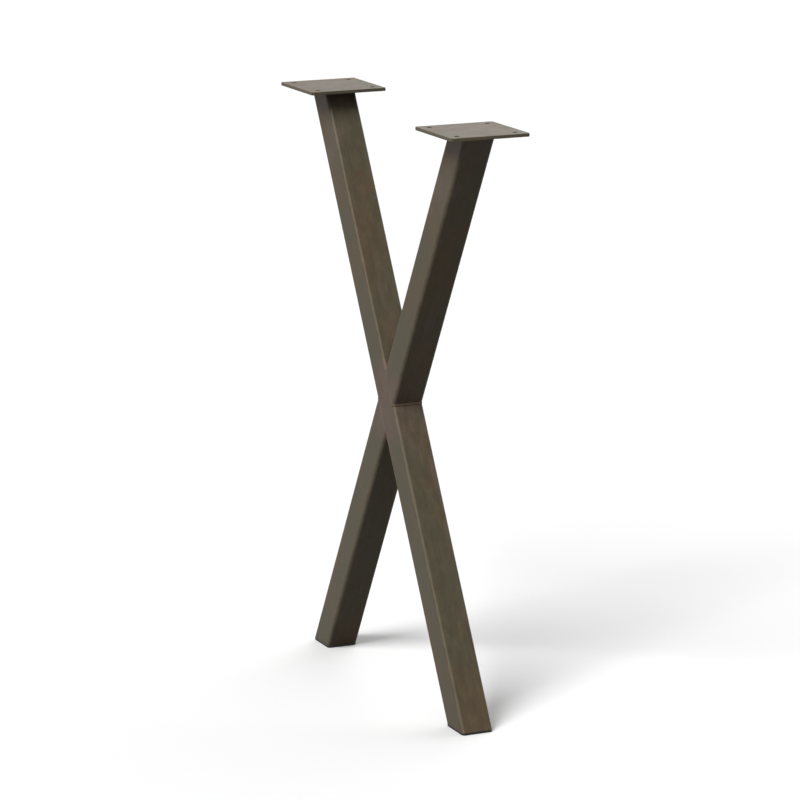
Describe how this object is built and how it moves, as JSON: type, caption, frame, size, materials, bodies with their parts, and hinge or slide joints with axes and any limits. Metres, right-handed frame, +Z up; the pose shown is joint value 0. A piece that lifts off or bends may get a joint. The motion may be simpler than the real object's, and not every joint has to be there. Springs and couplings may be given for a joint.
{
  "type": "x shaped table leg",
  "caption": "X-shaped table leg of welded square steel tube, with flat screw plates under the top and moulded plugs in the level-cut feet.",
  "frame": {"origin": "on the floor, midway between the feet and on the middle plane of the X", "axes": "+X across the leg to its front foot, +Y along the depth of the tube, square to the plane of the X, +Z up"},
  "size_m": [0.5, 0.1, 0.72],
  "materials": {
    "raw_steel": "raw rolled steel with a dark brown-grey scale under satin clear lacquer",
    "plate_steel": "laser-cut raw steel sheet under satin clear lacquer",
    "weld_metal": "weld beads, ground flush on the faces of the crossing, under satin clear lacquer",
    "plug_plastic": "black moulded plastic with a fine matte grain"
  },
  "bodies": {
    "root": {"through_bar": "raw_steel", "lower_half_bar": "raw_steel", "upper_half_bar": "raw_steel", "crossing_welds": "weld_metal", "front_plate": "plate_steel", "rear_plate": "plate_steel", "front_plate_weld": "weld_metal", "rear_plate_weld": "weld_metal", "front_foot_plug": "plug_plastic", "rear_foot_plug": "plug_plastic"}
  },
  "joints": []
}
